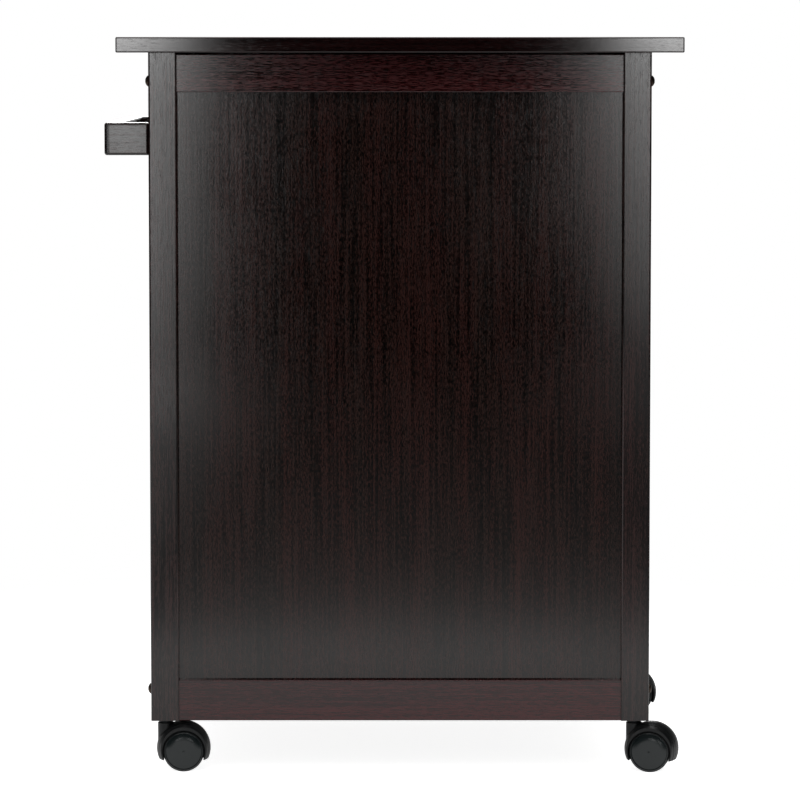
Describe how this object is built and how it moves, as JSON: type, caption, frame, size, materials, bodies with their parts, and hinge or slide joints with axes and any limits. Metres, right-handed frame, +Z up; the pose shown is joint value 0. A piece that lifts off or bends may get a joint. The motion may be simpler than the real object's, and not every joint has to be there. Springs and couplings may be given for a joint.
{
  "type": "kitchen cart",
  "caption": "Rolling kitchen cart with a wooden worktop, a drawer over a two-door cupboard with a shelf, a towel bar on one side and twin-wheel swivel casters.",
  "frame": {"origin": "on the floor under the centre of the overall bounding box, which takes in the towel bar", "axes": "+Z up; -Y out of the front, with the drawer and doors; +X towards the side with the towel bar; the pictured panelled back faces +Y"},
  "size_m": [0.6752, 0.48, 0.864],
  "materials": {
    "stained_wood": "espresso stain under satin lacquer",
    "stained_plywood": "espresso stained plywood, satin lacquer",
    "plain_wood": "bare sanded hardwood",
    "bronze_steel": "dark bronze plating",
    "zinc_steel": "zinc plated",
    "black_steel": "black zinc plated",
    "catch_plastic": "moulded, fine grain",
    "caster_plastic": "moulded, satin",
    "wheel_nylon": "moulded nylon, satin"
  },
  "bodies": {
    "cart_body": {"worktop": "stained_wood", "post_front_left": "stained_wood", "post_front_right": "stained_wood", "post_back_left": "stained_wood", "post_back_right": "stained_wood", "side_rails": "stained_wood", "side_panels": "stained_plywood", "back_top_rail": "stained_wood", "back_bottom_rail": "stained_wood", "back_panel": "stained_plywood", "front_top_rail": "stained_wood", "front_middle_rail": "stained_wood", "front_bottom_rail": "stained_wood", "floor_board": "stained_plywood", "shelf": "stained_wood", "shelf_pins": "zinc_steel", "frame_bolts": "bronze_steel", "barrel_nuts": "zinc_steel", "frame_dowels": "plain_wood", "worktop_cleats": "stained_wood", "wood_screws": "zinc_steel", "drawer_runners": "plain_wood", "towel_bar": "stained_wood", "towel_bar_arms": "stained_wood", "hinge_post_leaves": "bronze_steel", "hinge_pins": "bronze_steel", "magnetic_catch": "catch_plastic", "caster_sockets": "black_steel", "caster_stems": "black_steel"},
    "drawer": {"drawer_front": "stained_wood", "drawer_sides": "plain_wood", "drawer_back": "plain_wood", "drawer_bottom": "plain_wood", "drawer_knobs": "bronze_steel"},
    "door_left": {"door_left_frame": "stained_wood", "door_left_panel": "stained_plywood", "door_left_knob": "bronze_steel", "door_left_strike": "zinc_steel", "door_left_hinge_leaves": "bronze_steel"},
    "door_right": {"door_right_frame": "stained_wood", "door_right_panel": "stained_plywood", "door_right_knob": "bronze_steel", "door_right_strike": "zinc_steel", "door_right_hinge_leaves": "bronze_steel"},
    "caster_front_left_hood": {"caster_front_left_hood": "caster_plastic", "caster_front_left_axle": "zinc_steel"},
    "caster_front_left_wheel_front": {"caster_front_left_wheel_front": "wheel_nylon"},
    "caster_front_left_wheel_back": {"caster_front_left_wheel_back": "wheel_nylon"},
    "caster_front_right_hood": {"caster_front_right_hood": "caster_plastic", "caster_front_right_axle": "zinc_steel"},
    "caster_front_right_wheel_front": {"caster_front_right_wheel_front": "wheel_nylon"},
    "caster_front_right_wheel_back": {"caster_front_right_wheel_back": "wheel_nylon"},
    "caster_back_left_hood": {"caster_back_left_hood": "caster_plastic", "caster_back_left_axle": "zinc_steel"},
    "caster_back_left_wheel_front": {"caster_back_left_wheel_front": "wheel_nylon"},
    "caster_back_left_wheel_back": {"caster_back_left_wheel_back": "wheel_nylon"},
    "caster_back_right_hood": {"caster_back_right_hood": "caster_plastic", "caster_back_right_axle": "zinc_steel"},
    "caster_back_right_wheel_front": {"caster_back_right_wheel_front": "wheel_nylon"},
    "caster_back_right_wheel_back": {"caster_back_right_wheel_back": "wheel_nylon"}
  },
  "joints": [
    {"name": "drawer_slide", "type": "slide", "parent": "cart_body", "child": "drawer", "axis": [0, -1, 0], "range_m": [0, 0.25]},
    {"name": "door_left_hinge", "type": "hinge", "parent": "cart_body", "child": "door_left", "pos_m": [-0.26695, -0.2233, 0.365], "axis": [0, 0, -1], "range_deg": [0, 165]},
    {"name": "door_right_hinge", "type": "hinge", "parent": "cart_body", "child": "door_right", "pos_m": [0.25185, -0.2233, 0.365], "axis": [0, 0, 1], "range_deg": [0, 165]},
    {"name": "caster_front_left_swivel", "type": "hinge", "parent": "cart_body", "child": "caster_front_left_hood", "pos_m": [-0.28455, -0.2035, 0.057], "axis": [0, 0, 1], "continuous": true},
    {"name": "caster_front_left_spin_front", "type": "hinge", "parent": "caster_front_left_hood", "child": "caster_front_left_wheel_front", "pos_m": [-0.30535, -0.20642, 0.024], "axis": [-0.1392, 0.9903, 0], "continuous": true},
    {"name": "caster_front_left_spin_back", "type": "hinge", "parent": "caster_front_left_hood", "child": "caster_front_left_wheel_back", "pos_m": [-0.30535, -0.20642, 0.024], "axis": [-0.1392, 0.9903, 0], "continuous": true},
    {"name": "caster_front_right_swivel", "type": "hinge", "parent": "cart_body", "child": "caster_front_right_hood", "pos_m": [0.26945, -0.2035, 0.057], "axis": [0, 0, 1], "continuous": true},
    {"name": "caster_front_right_spin_front", "type": "hinge", "parent": "caster_front_right_hood", "child": "caster_front_right_wheel_front", "pos_m": [0.24857, -0.20131, 0.024], "axis": [0.1045, 0.9945, 0], "continuous": true},
    {"name": "caster_front_right_spin_back", "type": "hinge", "parent": "caster_front_right_hood", "child": "caster_front_right_wheel_back", "pos_m": [0.24857, -0.20131, 0.024], "axis": [0.1045, 0.9945, 0], "continuous": true},
    {"name": "caster_back_left_swivel", "type": "hinge", "parent": "cart_body", "child": "caster_back_left_hood", "pos_m": [-0.28455, 0.2035, 0.057], "axis": [0, 0, 1], "continuous": true},
    {"name": "caster_back_left_spin_front", "type": "hinge", "parent": "caster_back_left_hood", "child": "caster_back_left_wheel_front", "pos_m": [-0.30509, 0.20787, 0.024], "axis": [0.2079, 0.9781, 0], "continuous": true},
    {"name": "caster_back_left_spin_back", "type": "hinge", "parent": "caster_back_left_hood", "child": "caster_back_left_wheel_back", "pos_m": [-0.30509, 0.20787, 0.024], "axis": [0.2079, 0.9781, 0], "continuous": true},
    {"name": "caster_back_right_swivel", "type": "hinge", "parent": "cart_body", "child": "caster_back_right_hood", "pos_m": [0.26945, 0.2035, 0.057], "axis": [0, 0, 1], "continuous": true},
    {"name": "caster_back_right_spin_front", "type": "hinge", "parent": "caster_back_right_hood", "child": "caster_back_right_wheel_front", "pos_m": [0.24847, 0.20258, 0.024], "axis": [-0.0436, 0.999, 0], "continuous": true},
    {"name": "caster_back_right_spin_back", "type": "hinge", "parent": "caster_back_right_hood", "child": "caster_back_right_wheel_back", "pos_m": [0.24847, 0.20258, 0.024], "axis": [-0.0436, 0.999, 0], "continuous": true}
  ]
}
